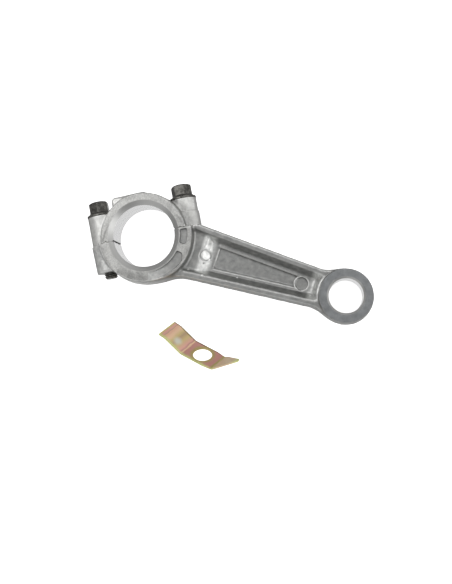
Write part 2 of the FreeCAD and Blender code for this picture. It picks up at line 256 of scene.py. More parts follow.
def surface_mesh(grid, field, name):
    """A closed mesh of the field's surface: one vertex in each cell that it passes through."""
    field = np.pad(field[1:-1, 1:-1, 1:-1], 1, constant_values=grid.step)
    inside = field < 0
    near = np.zeros([n - 1 for n in grid.shape], np.uint8)
    for dx in (0, 1):
        for dy in (0, 1):
            for dz in (0, 1):
                nx, ny, nz = near.shape
                near += inside[dx:nx + dx, dy:ny + dy, dz:nz + dz]
    active = (near > 0) & (near < 8)
    cells = np.argwhere(active)
    number = np.full(near.shape, -1, np.int32)
    number[active] = np.arange(len(cells))
    total, count = edge_crossings(field, cells)
    points = (grid.low + grid.step * (cells + total / count[:, None])) * MM
    quads = []
    for axis in range(3):
        forward = np.roll(inside, -1, axis) != inside
        index = np.argwhere(forward)
        limit = np.array(near.shape)
        b, c = [(1, 2), (2, 0), (0, 1)][axis]
        index = index[(index[:, axis] < limit[axis]) & (index[:, b] > 0) & (index[:, c] > 0)]
        index = index[(index[:, b] < limit[b]) & (index[:, c] < limit[c])]
        ring = []
        for db, dc in ((-1, -1), (0, -1), (0, 0), (-1, 0)):
            near_cell = index.copy()
            near_cell[:, b] += db
            near_cell[:, c] += dc
            ring.append(number[tuple(near_cell.T)])
        ring = np.stack(ring, 1)
        outward = inside[tuple(index.T)]
        quads.append(np.where(outward[:, None], ring, ring[:, ::-1]))
    mesh = bpy.data.meshes.new(name)
    mesh.from_pydata(points.tolist(), [], np.concatenate(quads).tolist())
    mesh.update()
    piece = bpy.data.objects.new(name, mesh)
    bpy.context.scene.collection.objects.link(piece)
    return piece


# ---------------------------------------------------------------- machining

BORE_SEGMENTS = 160
DRILL_SEGMENTS = 72
OVERRUN = 1.0
SLAB = 3.0


def lathe(profile, segments):
    """A closed solid turned about Z from (radius, height) points that start and end on the axis."""
    mesh = bpy.data.meshes.new("tool")
    points, faces = [], []
    inner = profile[1:-1]
    for radius, height in inner:
        for i in range(segments):
            angle = 2 * math.pi * i / segments
            points.append((radius * math.cos(angle), radius * math.sin(angle), height))
    for ring in range(len(inner) - 1):
        for i in range(segments):
            a, b = ring * segments + i, ring * segments + (i + 1) % segments
            faces.append((a, b, b + segments, a + segments))
    faces.append(tuple(reversed(range(segments))))
    faces.append(tuple(range((len(inner) - 1) * segments, len(inner) * segments)))
    mesh.from_pydata([tuple(v * MM for v in p) for p in points], [], faces)
    mesh.update()
    return mesh


def bore_tool(centre_x, radius, wall, chamfer_r):
    """The tool for a bore along Z with a chamfer at both faces."""
    depth = FACE_Z - wall / 2
    slope = (chamfer_r - radius) / depth
    top, wide = FACE_Z + OVERRUN, chamfer_r + slope * OVERRUN
    profile = [(0, -top), (wide, -top), (radius, -wall / 2), (radius, wall / 2), (wide, top), (0, top)]
    mesh = lathe(profile, BORE_SEGMENTS)
    mesh.transform(Matrix.Translation((centre_x * MM, 0, 0)))
    return mesh


def rod_tool(offset, radius, start, end):
    """A drill or spot-facing tool along a bolt's axis, in the split frame."""
    mesh = lathe([(0, start), (radius, start), (radius, end), (0, end)], DRILL_SEGMENTS)
    turn = Matrix.Rotation(math.radians(-90), 4, "X")
    mesh.transform(Matrix.Translation((offset * MM, 0, 0)) @ turn)
    return mesh


def block_tool(low, high):
    """A box between two corners."""
    mesh = bpy.data.meshes.new("tool")
    x_pair, y_pair, z_pair = ((a * MM, b * MM) for a, b in zip(low, high))
    corners = [(x, y, z) for x in x_pair for y in y_pair for z in z_pair]
    faces = [(0, 1, 3, 2), (4, 6, 7, 5), (0, 4, 5, 1), (2, 3, 7, 6), (0, 2, 6, 4), (1, 5, 7, 3)]
    mesh.from_pydata(corners, [], faces)
    mesh.update()
    return mesh


def machined(piece, tools):
    """The piece with every tool's volume cut away, and the tools removed."""
    for mesh in tools:
        tool = bpy.data.objects.new("tool", mesh)
        bpy.context.scene.collection.objects.link(tool)
        boolean = piece.modifiers.new("cut", "BOOLEAN")
        boolean.operation = "DIFFERENCE"
        boolean.solver = "MANIFOLD"
        boolean.object = tool
        bake_modifiers(piece)
        bpy.data.objects.remove(tool)
        bpy.data.meshes.remove(mesh)
    return piece


def bake_modifiers(piece):
    """Puts the evaluated mesh in place of the piece's own, and drops its modifiers."""
    graph = bpy.context.evaluated_depsgraph_get()
    mesh = bpy.data.meshes.new_from_object(piece.evaluated_get(graph))
    old, name = piece.data, piece.data.name
    piece.modifiers.clear()
    piece.data = mesh
    bpy.data.meshes.remove(old)
    mesh.name = name


def face_tools(low, high):
    """Slabs that leave both side faces flat at the rod's true thickness."""
    top = block_tool((*low, FACE_Z), (*high, FACE_Z + SLAB))
    bottom = block_tool((*low, -FACE_Z - SLAB), (*high, -FACE_Z))
    return [top, bottom]


# ---------------------------------------------------------------- castings

def cast_skin(grid, field, seed):
    """The faint unevenness of a die casting, and the flash line where the die halves met."""
    for i, (height, size) in enumerate(SKIN_BUMPS):
        field = field + height * lattice_noise(grid, size, seed + i)
    ragged, size = FLASH_RAGGED
    flash = FLASH_HEIGHT + ragged * lattice_noise(grid, size, seed + len(SKIN_BUMPS))
    flash = flash * ramp(-grid.x, -FLASH_FADE_X[1], -FLASH_FADE_X[0])
    return field - flash * np.exp(-((grid.z / FLASH_HALF_WIDTH) ** 2))


def boss(distance, depth, edge=EDGE_ROUND):
    """A round boss with draft, tall enough to be faced off."""
    return common(distance + DRAFT * depth, depth - FACE_Z - STOCK, edge)


def web_height(x, y):
    """Height of the channel's floor: a step at the root, a slope, and the long web."""
    slope_end = SLOPE_END_X + SLOPE_END_SKEW * y
    slope_start = SLOPE_START_X + SLOPE_START_SKEW * y
    share = np.clip((x - slope_start) / (slope_end - slope_start), -0.2, 1.2)
    share = share - 0.1 * np.sin(np.clip(share, 0, 1) * 2 * math.pi) / math.pi
    return ROOT_FLOOR_Z - (ROOT_FLOOR_Z - WEB_Z) * np.clip(share, 0, 1)


def channel_field(x, y, depth):
    """The open space between the rails on both sides of the web, its walls scaled to a slope of about 1."""
    fallen = BEAM_Z - depth
    wall = np.abs(y) - (BEAM_HALF_WIDTH - RAIL_WIDTH - BEAM_TAPER * x) + CHANNEL_LEAN * fallen
    from_pin = np.hypot(x - PIN_X, y)
    end = CHANNEL_END_R + CHANNEL_END_LEAN * fallen - from_pin
    space = common(wall * 0.83, web_height(x, y) - depth, 1.0)
    return common(space, end * 0.9, 1.2)


def panel_side(x, y):
    """Distance outside the panel's two long sides."""
    return np.abs(y) - (PANEL_HALF_WIDTH - PANEL_TAPER * x)


def panel_field(x, y, depth):
    """The long shallow panel sunk in the web."""
    plan = common(panel_side(x, y), common(PANEL_START_X - x, x - PANEL_END_X, 0.5), 1.5)
    return common(plan, PANEL_Z - depth, 0.4)


def bead_field(x, y, depth):
    """The rounded ridge that runs along each long side of the panel, and a little past its ends."""
    bead = np.hypot(panel_side(x, y) - 0.6, depth - WEB_Z + 0.4) - BEAD_R
    return common(bead, common(PANEL_START_X - 1.0 - x, x - PANEL_END_X - 1.5), 1.0)


def relief_field(x, y, depth):
    """The two sunk sectors in each face of the big end; the lower one shallows out along the ring."""
    radius = np.hypot(x, y)
    angle = np.degrees(np.arctan2(y, x))
    sectors = None
    for outline, shallow in ((UPPER_POCKET, 0.0), (LOWER_POCKET, 1.0)):
        low, high = outline[0][0], outline[-1][0]
        wall = radius - np.interp(angle, *zip(*outline))
        ends = np.maximum(low - angle, angle - high) * 0.37
        sunk = POCKET_DEPTH - POCKET_SHALLOWING * shallow * ramp(-angle, 30.0, 76.0)
        sector = common(common(POCKET_INNER_R - radius, wall, 0.4), ends, 1.2)
        sector = common(sector, FACE_Z - sunk - depth, 0.5)
        sectors = sector if sectors is None else union(sectors, sector)
    return sectors


def seam_height(along, z):
    """How far the cracked, slightly wandering split surface stands off the split plane."""
    waves = [height * np.sin(a * along + b * z + phase) for height, a, b, phase in SEAM_WAVES]
    return SEAM_LEVEL + (waves[0] + waves[1])


def seam_relief(along, out, z):
    """Small grooves where the split comes out into the crankpin bore and on the side faces."""
    in_bore = np.abs(np.abs(along) - CRANK_R) + np.abs(out - SEAM_LEVEL) - 0.66
    on_face = np.abs(out - seam_height(along, z)) + FACE_Z - np.abs(z) - 0.36
    return union(in_bore, on_face) * 0.707


def ejector_marks(body, x, y, z):
    """The two round marks that the die's ejector pins leave on the upper side."""
    root = np.hypot(x - ROOT_MARK_AT[0], y - ROOT_MARK_AT[1])
    rise = z - web_height(x, y)
    pad = common(root - 2.6, common(rise - 0.15, -z), 0.3)
    groove = np.hypot(root - 2.85, rise) - 0.42
    body = cut(union(body, pad), common(groove, -z), 0.2)
    end = np.hypot(x - END_MARK_AT[0], y - END_MARK_AT[1])
    mark = common(end - 3.3, 1.7 - z, 0.4)
    ring = np.hypot(end - 3.75, z - 3.0) - 0.42
    body = union(cut(body, mark, 0.4), common(ring, -z), 0.3)
    dimple = np.hypot(np.hypot(x - DIMPLE_AT[0], y - DIMPLE_AT[1]), rise) - 0.55
    return cut(body, dimple, 0.3)


def beam_plan(x, y):
    """The beam's outline in plan, filleted into the big end and the small end."""
    side = np.abs(y + BEAM_LOW) - (BEAM_HALF_WIDTH + 0.1 - BEAM_TAPER * x)
    beam = common(side, common(4 - x, x - PIN_X), 0.5)
    outline = union(beam, np.hypot(x, y) - ROD_RING_R + 0.4, 7.5)
    return union(outline, np.hypot(x - PIN_X, y) - SMALL_END_R + 0.2, 5.5)


def rod_casting():
    """The rod: beam, channels and bosses in one skin, split from the cap, then drilled, bored and faced."""
    grid = Grid((-33, -28, -12.4), (124, 18, 12.4), ROD_STEP)
    x, y, z = grid.x, grid.y, grid.z
    depth = np.abs(z)
    cos, sin = math.cos(SPLIT_TURN), math.sin(SPLIT_TURN)
    along, out = x * cos + y * sin, y * cos - x * sin
    radius = np.hypot(x, y)
    body = common(beam_plan(x, y) + BEAM_DRAFT * depth, depth - BEAM_Z, 0.9)
    body = cut(body, channel_field(x, y, depth), 0.7)
    body = cut(body, panel_field(x, y, depth), 0.3)
    body = union(body, bead_field(x, y, depth), 0.5)
    rim = ROD_RING_R + RIM_EXTRA_R * ramp(x, 8, 17) * ramp(y, -22, -12)
    body = union(body, boss(radius - rim, depth), 1.8)
    body = union(body, boss(np.hypot(x - PIN_X, y) - SMALL_END_R + 0.25, depth, 0.7), 0.6)
    lug = common(np.hypot(along + BOLT_OFFSET, z) - ROD_LUG_R - 0.02 * out, ROD_LUG_END - out, 1.2)
    body = union(body, common(lug, out - 1), 1.0)
    body = cut(body, relief_field(x, y, depth), 0.5)
    body = ejector_marks(body, x, y, z)
    body = cast_skin(grid, body, 11)
    removed = common(seam_height(along, z) - SEAM_GAP / 2 - out, along - SHOULDER_OFFSET)
    body = cut(body, removed)
    body = cut(body, seam_relief(along, out, z))
    piece = surface_mesh(grid, body, "rod_casting")
    drills = [
        rod_tool(-BOLT_OFFSET, BOLT_HOLE_R, -60, 5),
        rod_tool(BOLT_OFFSET, BOLT_HOLE_R, BLIND_HOLE_END, 5),
    ]
    for mesh in drills:
        mesh.transform(Matrix.Rotation(SPLIT_TURN, 4, "Z"))
    bores = [
        bore_tool(0, CRANK_R, CRANK_WALL, CRANK_CHAMFER_R),
        bore_tool(PIN_X, PIN_R, PIN_WALL, PIN_CHAMFER_R),
    ]
    return machined(piece, drills + bores + face_tools((-60, -60), (140, 60)))


def cap_casting():
    """The cap, drawn in the split frame: half a ring with a stop pad and two lugs, then turned into place."""
    grid = Grid((-31, -1.2, -12.4), (31, 25.5, 12.4), CAP_STEP)
    x, y, z = grid.x, grid.y, grid.z
    depth = np.abs(z)
    body = boss(np.hypot(x, y) - CAP_RING_R, depth)
    pad_plan = common(common(y - PAD_TOP, PAD_LEFT - x, 2.4), x - PAD_RIGHT, 0.5)
    pad = common(pad_plan + 0.08 * depth, depth - PAD_HALF_HEIGHT, 1.6)
    body = union(body, pad, 1.6)
    for side in (-1, 1):
        swell = 0.35 * ramp(-y, -8.9, -8.3) if side > 0 else 0.0
        lug = common(np.hypot(x - side * BOLT_OFFSET, z) - CAP_LUG_R - swell, y - BOLT_SEAT - 0.8, 0.4)
        body = union(body, lug, 1.7)
    body = cast_skin(grid, body, 23)
    body = cut(body, y - seam_height(x, z) - SEAM_GAP / 2)
    body = cut(body, seam_relief(x, y, z))
    piece = surface_mesh(grid, body, "cap_casting")
    tools = [bore_tool(0, CRANK_R, CRANK_WALL, CRANK_CHAMFER_R)]
    for side in (-1, 1):
        tools.append(rod_tool(side * BOLT_OFFSET, SPOT_FACE_R, BOLT_SEAT - SEAT_CLEARANCE, 40))
        tools.append(rod_tool(side * BOLT_OFFSET, BOLT_HOLE_R, -5, 40))
    piece = machined(piece, tools + face_tools((-60, -60), (60, 60)))
    piece.data.transform(Matrix.Rotation(SPLIT_TURN, 4, "Z"))
    return piece


# ---------------------------------------------------------------- bolts

def bolt_head():
    """Hexagon, cone and flange, standing on the seat at height zero."""
    grid = Grid((-7.8, -7.8, -1.0), (7.8, 7.8, 9.2), HEAD_STEP)
    x, y, z = grid.x, grid.y, grid.z
    radius = np.hypot(x, y)
    flats = [np.abs(x * math.cos(a) + y * math.sin(a)) for a in (math.pi / 2, math.pi / 6, -math.pi / 6)]
    hexagon = common(common(flats[0], flats[1], 0.25), flats[2], 0.25) - HEX_AF / 2
    out_share, up_share = CONE_NORMAL
    crown = (radius - CROWN_R) * out_share + (z - HEAD_HEIGHT + CROWN_DROP) * up_share
    head = common(hexagon, common(z - HEAD_HEIGHT, crown, 0.5) + 0 * x, 0.45)
    cone = (radius - FLANGE_R) * out_share + (z - FLANGE_RIM) * up_share
    flange = common(common(radius - FLANGE_R, cone, 0.35), -z, 0.2)
    head = union(head, flange, 0.7)
    return surface_mesh(grid, common(head, -z), "bolt_head")


def bolt_shank():
    """Plain shank running into a right-hand thread, with a chamfered point."""
    around, along = 48, 10
    rows = int(SHANK_LENGTH / THREAD_PITCH * along)
    points = []
    for row in range(rows + 1):
        depth = SHANK_LENGTH * row / rows
        engaged = min(max((depth - THREAD_START) / THREAD_PITCH, 0), 1)
        point = max(0.0, depth - SHANK_LENGTH + POINT_LENGTH) * POINT_SLOPE
        for i in range(around):
            turn = depth / THREAD_PITCH + i / around
            groove = abs((turn % 1) * 2 - 1)
            groove = min(max((groove - THREAD_CREST) / THREAD_FLANK, 0), 1)
            radius = min(SHANK_R - THREAD_DEPTH * engaged * groove, SHANK_R - point)
            angle = 2 * math.pi * i / around
            points.append((radius * math.cos(angle) * MM, radius * math.sin(angle) * MM, -depth * MM))
    faces = []
    for row in range(rows):
        for i in range(around):
            a, b = row * around + i, row * around + (i + 1) % around
            faces.append((a, a + around, b + around, b))
    faces.append(tuple(range(around)))
    faces.append(tuple(reversed(range(rows * around, (rows + 1) * around))))
    mesh = bpy.data.meshes.new("shank")
    mesh.from_pydata(points, [], faces)
    mesh.update()
    piece = bpy.data.objects.new("shank", mesh)
    bpy.context.scene.collection.objects.link(piece)
    return piece


def flange_bolt(name, joint, hex_turn):
    """One cap bolt in its place, its hexagon turned about its own axis."""
    head, shank = bolt_head(), bolt_shank()
    head.data.transform(Matrix.Rotation(math.radians(hex_turn), 4, "Z"))
    with bpy.context.temp_override(active_object=head, selected_editable_objects=[head, shank]):
        bpy.ops.object.join()
    head.name = name
    stand = Vector((0, 0, 1)).rotation_difference(Vector(joint["axis"])).to_matrix().to_4x4()
    head.data.transform(Matrix.Translation(joint["pos_m"]) @ stand)
    return head


# ---------------------------------------------------------------- materials

# The cap's skin is far paler than the rod's beam, and the rod's big end is painted as pale: painted light, the big
# end standing in brighter light than the beam
ROD_DARK = (0.28, 0.285, 0.28)
ROD_LIGHT = (0.41, 0.41, 0.40)
CAP_DARK = (0.66, 0.66, 0.64)
CAP_LIGHT = (0.84, 0.84, 0.82)
# Near white for the castings' convex edges: edge wear and painted highlight
EDGE_WEAR_AND_HIGHLIGHT_METAL = (0.95, 0.95, 0.93)
# The split's faces at the bore are painted nearly black: painted shade in the crack
CRACK_SHADE_DARK = (0.05, 0.05, 0.05)
CRACK_SHADE_LIGHT = (0.09, 0.09, 0.09)
# The big end's faces are painted much lighter than the small end's, which face the same way: painted light and
# shade, besides the small end's finer, bluer finish
BIG_FACE_DARK = (0.37, 0.37, 0.36)
BIG_FACE_LIGHT = (0.66, 0.66, 0.64)
SMALL_FACE_DARK = (0.26, 0.27, 0.275)
SMALL_FACE_LIGHT = (0.36, 0.37, 0.38)
BORE_METAL = (0.76, 0.76, 0.76)
CHAMFER_METAL = (0.54, 0.54, 0.53)
OXIDE_DARK = (0.07, 0.068, 0.063)
OXIDE_LIGHT = (0.19, 0.185, 0.172)
# Browner steel for the bolts' convex edges: edge wear and painted highlight
OXIDE_EDGE_WEAR_AND_HIGHLIGHT = (0.36, 0.35, 0.32)

# Where the rod's skin is painted paler, as painted light: the big end, the slope at the root, and the rise to the
# small end
BIG_END_SPAN = (-90, -80, 4, 20, 60)
SLOPE_SPAN = (29.5, 31, 35, 37.5, 9.3)
RISE_SPAN = (88, 90.5, 93.5, 95.5, 6.5)
# Reach of the painted shade beside the cap's ring, as two distances from near the crankpin's axis
CAP_RING_SHADE = (21.6, 24.8)


def scaled(color, share):
    """The colour, lighter or darker by that share."""
    return tuple(share * c for c in color)


class Nodes:
    """Short ways to add and wire the nodes of one material."""

    def __init__(self, name):
        self.material = bpy.data.materials.new(name)
        self.material.use_nodes = True
        self.tree = self.material.node_tree
        self.shader = self.tree.nodes["Principled BSDF"]
        self.place = self.tree.nodes.new("ShaderNodeTexCoord").outputs["Object"]

    def add(self, kind, inputs=(), **settings):
        """A new node with those settings, and each named input fed."""
        node = self.tree.nodes.new("ShaderNode" + kind)
        for key, value in settings.items():
            setattr(node, key, value)
        for socket, value in dict(inputs).items():
            self.feed(node.inputs[socket], value)
        return node

    def feed(self, socket, value):
        """Links another node's output to the socket, or sets the socket's own value."""
        if isinstance(value, bpy.types.NodeSocket):
            self.tree.links.new(value, socket)
        else:
            socket.default_value = value

    def noise(self, size_mm, detail=3.0, stretch=(1, 1, 1), rough=0.5):
        """Noise of that grain size, from about 0.3 to 0.7."""
        place = self.add("Mapping", {"Vector": self.place, "Scale": stretch}).outputs["Vector"]
        settings = {"Vector": place, "Scale": 1 / (size_mm * MM), "Detail": detail, "Roughness": rough}
        return self.add("TexNoise", settings).outputs["Fac"]

    def spread(self, value, low, high, start=0.3, end=0.7):
        """Takes the range from start to end onto the range from low to high, and holds it there."""
        settings = {"Value": value, "From Min": start, "From Max": end, "To Min": low, "To Max": high}
        return self.add("MapRange", settings).outputs["Result"]

    def ramp(self, value, stops):
        """A colour from (position, colour) stops."""
        node = self.add("ValToRGB", {"Fac": value})
        elements = node.color_ramp.elements
        while len(elements) < len(stops):
            elements.new(0.5)
        for element, (position, color) in zip(elements, stops):
            element.position = position
            element.color = (*color, 1)
        return node.outputs["Color"]

    def math(self, operation, a, b=0.0):
        """One sum of two numbers."""
        return self.add("Math", {0: a, 1: b}, operation=operation).outputs[0]

    def vector(self, operation, a, b=(0, 0, 0), output=0):
        """One sum of two vectors, whose result is a vector or, from the output Value, a number."""
        return self.add("VectorMath", {0: a, 1: b}, operation=operation).outputs[output]

    def mix(self, factor, a, b):
        """Colour a where the factor is 0, and colour b where it is 1."""
        node = self.add("Mix", data_type="RGBA")
        for socket, value in ((0, factor), (6, a), (7, b)):
            self.feed(node.inputs[socket], (*value, 1) if isinstance(value, tuple) else value)
        return node.outputs[2]

    def bump(self, height, depth_mm, strength):
        """Fine relief of that depth on the surface."""
        node = self.add("Bump", {"Height": height, "Distance": depth_mm * MM, "Strength": strength})
        self.feed(self.shader.inputs["Normal"], node.outputs["Normal"])

    def surface(self, **inputs):
        """Feeds the shader's inputs, named with underscores for spaces, and gives the material."""
        for socket, value in inputs.items():
            self.feed(self.shader.inputs[socket.replace("_", " ")], value)
        return self.material


def painted_light_span(n, mottle, dark, light, span):
    """Painted light: paler skin over a stretch along the rod, as (start, full, full end, end, half-width), in
    millimetres.
    """
    start, full, full_end, end, half_width = (value * MM for value in span)
    split_up = n.add("SeparateXYZ", {0: n.place})
    x, width = split_up.outputs["X"], n.math("ABSOLUTE", split_up.outputs["Y"])
    inside = n.math("MINIMUM", n.spread(x, 0, 1, start, full), n.spread(x, 1, 0, full_end, end))
    inside = n.math("MULTIPLY", inside, n.spread(width, 1, 0, half_width, half_width + MM))
    # The skin here is painted about twice as light: painted light
    lit_skin = n.ramp(n.noise(1.6, 4.0), [(0.3, scaled(dark, 2.1)), (0.7, scaled(light, 2.2))])
    return n.mix(inside, mottle, lit_skin)


def painted_ring_shade(n, mottle, dark, light, near, far):
    """Painted shade beside the ring: darker skin, fading out between two distances from near the crankpin's axis.
    """
    from_ring = n.vector("SUBTRACT", n.place, (3 * MM, 2 * MM, 0))
    flat = n.vector("MULTIPLY", from_ring, (1, 1, 0))
    reach = n.vector("LENGTH", flat, output="Value")
    ring_shaded = n.ramp(n.noise(1.4, 4.0), [(0.35, scaled(dark, 0.55)), (0.7, scaled(light, 0.66))])
    return n.mix(n.spread(reach, 1.0, 0.0, near * MM, far * MM), mottle, ring_shaded)


def cast_aluminium(name, dark, light, painted_light_spans=(), ring_shade=None):
    """Die-cast skin: mottled satin grey, with painted light over any given spans and painted shade beside the ring
    if asked; lighter on convex edges from edge wear and painted highlight, and darker in the corners from painted
    shade.
    """
    n = Nodes(name)
    mottle = n.ramp(n.noise(2.4, 4.0), [(0.3, dark), (0.7, light)])
    for span in painted_light_spans:
        mottle = painted_light_span(n, mottle, dark, light, span)
    if ring_shade:
        mottle = painted_ring_shade(n, mottle, dark, light, *ring_shade)
    edge = n.add("NewGeometry").outputs["Pointiness"]
    # Convex edges are lightened towards near white: edge wear and painted highlight
    edge_wear_and_highlight = n.spread(edge, 0.0, 1.0, 0.508, 0.55)
    # Concave corners are darkened: painted shade
    corner = n.spread(edge, 1.0, 0.0, 0.42, 0.49)
    color = n.mix(corner, mottle, scaled(dark, 0.6))
    color = n.mix(n.math("MULTIPLY", edge_wear_and_highlight, 0.75), color, EDGE_WEAR_AND_HIGHLIGHT_METAL)
    rough = n.spread(n.noise(1.1, 3.0), 0.36, 0.52)
    grain = n.math("ADD", n.noise(0.55, 4.0), n.math("MULTIPLY", n.noise(2.2, 2.0), 1.6))
    n.bump(grain, 0.09, 0.75)
    return n.surface(Base_Color=color, Metallic=1.0, Roughness=rough)


def faced_aluminium(name, dark, light, rough):
    """A side face from the cutter: nearly flat, with a fine even grain."""
    n = Nodes(name)
    blotch = n.noise(3.5, 4.0)
    fine = n.noise(0.7, 3.0, rough=0.7)
    grain = n.math("ADD", n.math("MULTIPLY", blotch, 0.4), n.math("MULTIPLY", fine, 0.6))
    color = n.ramp(grain, [(0.36, dark), (0.64, light)])
    n.bump(n.noise(0.5, 3.0), 0.06, 0.6)
    return n.surface(Base_Color=color, Metallic=1.0, Roughness=n.spread(blotch, rough - 0.06, rough + 0.06))


def bored_aluminium(name, color, rough):
    """Turned surfaces: fine rings along the bore."""
    n = Nodes(name)
    rings = n.noise(0.9, 2.0, (0.02, 0.02, 4.0))
    shade = n.mix(n.spread(rings, 0.0, 1.0), scaled(color, 0.88), color)
    n.bump(rings, 0.01, 0.5)
    return n.surface(Base_Color=shade, Metallic=1.0, Roughness=n.spread(rings, rough - 0.05, rough + 0.05))


def black_oxide():
    """Black oxide steel, browner on its convex edges from edge wear and painted highlight."""
    n = Nodes("black_oxide")
    edge = n.spread(n.add("NewGeometry").outputs["Pointiness"], 0.0, 1.0, 0.52, 0.6)
    patch = n.ramp(n.noise(1.8, 4.0), [(0.35, OXIDE_DARK), (0.7, OXIDE_LIGHT)])
    # Convex edges turn browner and lighter: edge wear and painted highlight
    color = n.mix(n.math("MULTIPLY", edge, 0.5), patch, OXIDE_EDGE_WEAR_AND_HIGHLIGHT)
    n.bump(n.noise(0.5, 3.0), 0.015, 0.5)
    return n.surface(Base_Color=color, Metallic=0.85, Roughness=n.spread(n.noise(1.2), 0.22, 0.36))


# Colours of the dipper's passivated zinc
OLIVE = (0.50, 0.46, 0.15)
GREEN = (0.78, 0.82, 0.34)
ROSE = (0.68, 0.34, 0.29)
SALMON = (1.0, 0.60, 0.44)
PEACH_HIGHLIGHT = (1.0, 0.70, 0.46)
GOLD = (0.80, 0.63, 0.30)
UMBER = (0.62, 0.44, 0.27)
SHADOW = (0.12, 0.10, 0.04)
PINK = (0.92, 0.52, 0.43)
SAND = (0.78, 0.60, 0.40)
SILVER = (0.85, 0.83, 0.72)

# Where the dipper lies: its hole, the direction of its tip, and the pale silver patch on its riser
HOLE_AT = Vector(MOUNTS["dipper_hole"]["pos_m"])
DIPPER_NORMAL = Vector(MOUNTS["dipper_hole"]["axis"])
DIPPER_YAW = math.radians(-8.9)
DIPPER_PITCH = math.radians(-22.0)
DIPPER_HEADING = Vector((math.cos(DIPPER_YAW), math.sin(DIPPER_YAW), 0))
DIPPER_ALONG = DIPPER_HEADING * math.cos(DIPPER_PITCH) - Vector((0, 0, 1)) * math.sin(DIPPER_PITCH)
DIPPER_ACROSS = DIPPER_NORMAL.cross(DIPPER_ALONG)
PATCH_AT = HOLE_AT - DIPPER_ALONG * 15.2 * MM + DIPPER_NORMAL * 2.8 * MM - DIPPER_ACROSS * 2.0 * MM

# Colours met along the dipper from its tab to its tip, over a reach either side of the hole, and its rims as
# distances across it and from the hole's centre
ALONG_REACH = 26.0
NEAR_RIM = (-6.3 * MM, -4.6 * MM)
FAR_RIM = (5.6 * MM, 6.2 * MM)
HOLE_RIM = ((DIPPER_HOLE_R + 0.6) * MM, (DIPPER_HOLE_R + 2.2) * MM)
# The peach stops at the first bend and at the crease are painted highlights
ALONG_COLORS = (
    (0.03, GREEN), (0.045, GOLD), (0.065, PINK), (0.08, PINK), (0.085, UMBER), (0.092, SALMON), (0.14, PEACH_HIGHLIGHT),
    (0.17, GOLD), (0.20, UMBER), (0.24, GOLD), (0.29, PINK), (0.305, ROSE), (0.313, PEACH_HIGHLIGHT), (0.322, PEACH_HIGHLIGHT),
    (0.33, ROSE), (0.50, ROSE), (0.67, ROSE), (0.69, OLIVE), (0.72, SAND), (0.86, SAND), (0.94, GREEN),
)


def yellow_zinc():
    """Yellow passivated zinc: rose and salmon on the flats, gold at the bends with painted peach highlights on
    them, green where it is thickest.
    """
    n = Nodes("yellow_zinc")
    drift = n.add("TexNoise", {"Vector": n.place, "Scale": 1 / (4.0 * MM), "Detail": 2.0}).outputs["Color"]
    wander = n.vector("SUBTRACT", drift, (0.5, 0.5, 0.5))
    wander = n.vector("MULTIPLY", wander, (1.2 * MM, 1.2 * MM, 1.2 * MM))
    place = n.vector("ADD", n.place, wander)
    from_hole = n.vector("SUBTRACT", place, HOLE_AT)
    along = n.vector("DOT_PRODUCT", from_hole, DIPPER_ALONG, "Value")
    across = n.vector("DOT_PRODUCT", from_hole, DIPPER_ACROSS, "Value")
    away = n.vector("LENGTH", from_hole, output="Value")
    from_patch = n.vector("DISTANCE", place, PATCH_AT, "Value")
    color = n.ramp(n.spread(along, 0.0, 1.0, -ALONG_REACH * MM, ALONG_REACH * MM), ALONG_COLORS)
    near_rim = n.spread(across, 1.0, 0.0, *NEAR_RIM)
    color = n.mix(n.math("MULTIPLY", near_rim, 0.9), color, GREEN)
    far_rim = n.spread(across, 0.0, 1.0, *FAR_RIM)
    color = n.mix(n.math("MULTIPLY", far_rim, 0.9), color, SHADOW)
    hole_rim = n.spread(away, 1.0, 0.0, *HOLE_RIM)
    color = n.mix(n.math("MULTIPLY", hole_rim, 0.8), color, OLIVE)
    color = n.mix(n.spread(from_patch, 0.9, 0.0, 1.2 * MM, 3.2 * MM), color, SILVER)
    n.bump(n.noise(0.5, 2.0), 0.008, 0.4)
    return n.surface(Base_Color=color, Metallic=0.45, Roughness=n.spread(n.noise(1.5), 0.3, 0.42))


# ---------------------------------------------------------------- scene

# Order of the materials on each casting
SKIN, BIG_FACE, SMALL_FACE, BORE, CHAMFER, CRACK_SHADE = range(6)
SMOOTH_ANGLE = 35
DIPPER_EDGE = 0.14

# Studio: the sky's lobes as (direction, half-angle, level) over an even level, and square panels as
# (centre in mm, side in mm, level)
SKY_LEVEL = 0.43
SKY_LOBES = (
    ((0, 0, -1), 80, -0.24),
    ((0, 0, -1), 36, 0.8),
    ((0, 0.98, -0.1), 40, 0.15),
    ((-0.2, -0.95, 0.25), 38, 0.35),
    ((0.85, 0.45, 0.2), 38, 0.4),
)
LOBE_CORE = 0.45
PANELS = {
    "left_panel": ((-190, 60, 300), 250, 1.35),
    "right_panel": ((310, -10, 250), 230, 1.7),
    "back_panel": ((30, 260, 300), 250, 1.3),
}
PANEL_AIM = (30, 0, 0)
FLOOR_SIDE = 4.0
FLOOR_GLOW = 0.92

# Camera: place in mm, turn about X, Y and Z in degrees, and focal length in mm
CAMERA_AT = (100.70, -25.40, 464.61)
CAMERA_TURN = (3.045, 5.808, 16.948)
CAMERA_LENS = 55.47


def smooth(piece):
    """Smooth shading that keeps the machined edges crisp."""
    piece.data.shade_smooth()
    with bpy.context.temp_override(object=piece, active_object=piece, selected_editable_objects=[piece]):
        bpy.ops.object.shade_smooth_by_angle(angle=math.radians(SMOOTH_ANGLE))


def dress(piece, materials, choose=None):
    """Gives the piece its materials, each face taking the index that choose(centres, normals) returns."""
    piece.data.materials.clear()
    for material in materials:
        piece.data.materials.append(material)
    if choose is None:
        return
    mesh = piece.data
    centres = np.empty(len(mesh.polygons) * 3)
    normals = np.empty(len(mesh.polygons) * 3)
    mesh.polygons.foreach_get("center", centres)
    mesh.polygons.foreach_get("normal", normals)
    index = choose(centres.reshape(-1, 3) / MM, normals.reshape(-1, 3))
    mesh.polygons.foreach_set("material_index", index.astype(np.int32))


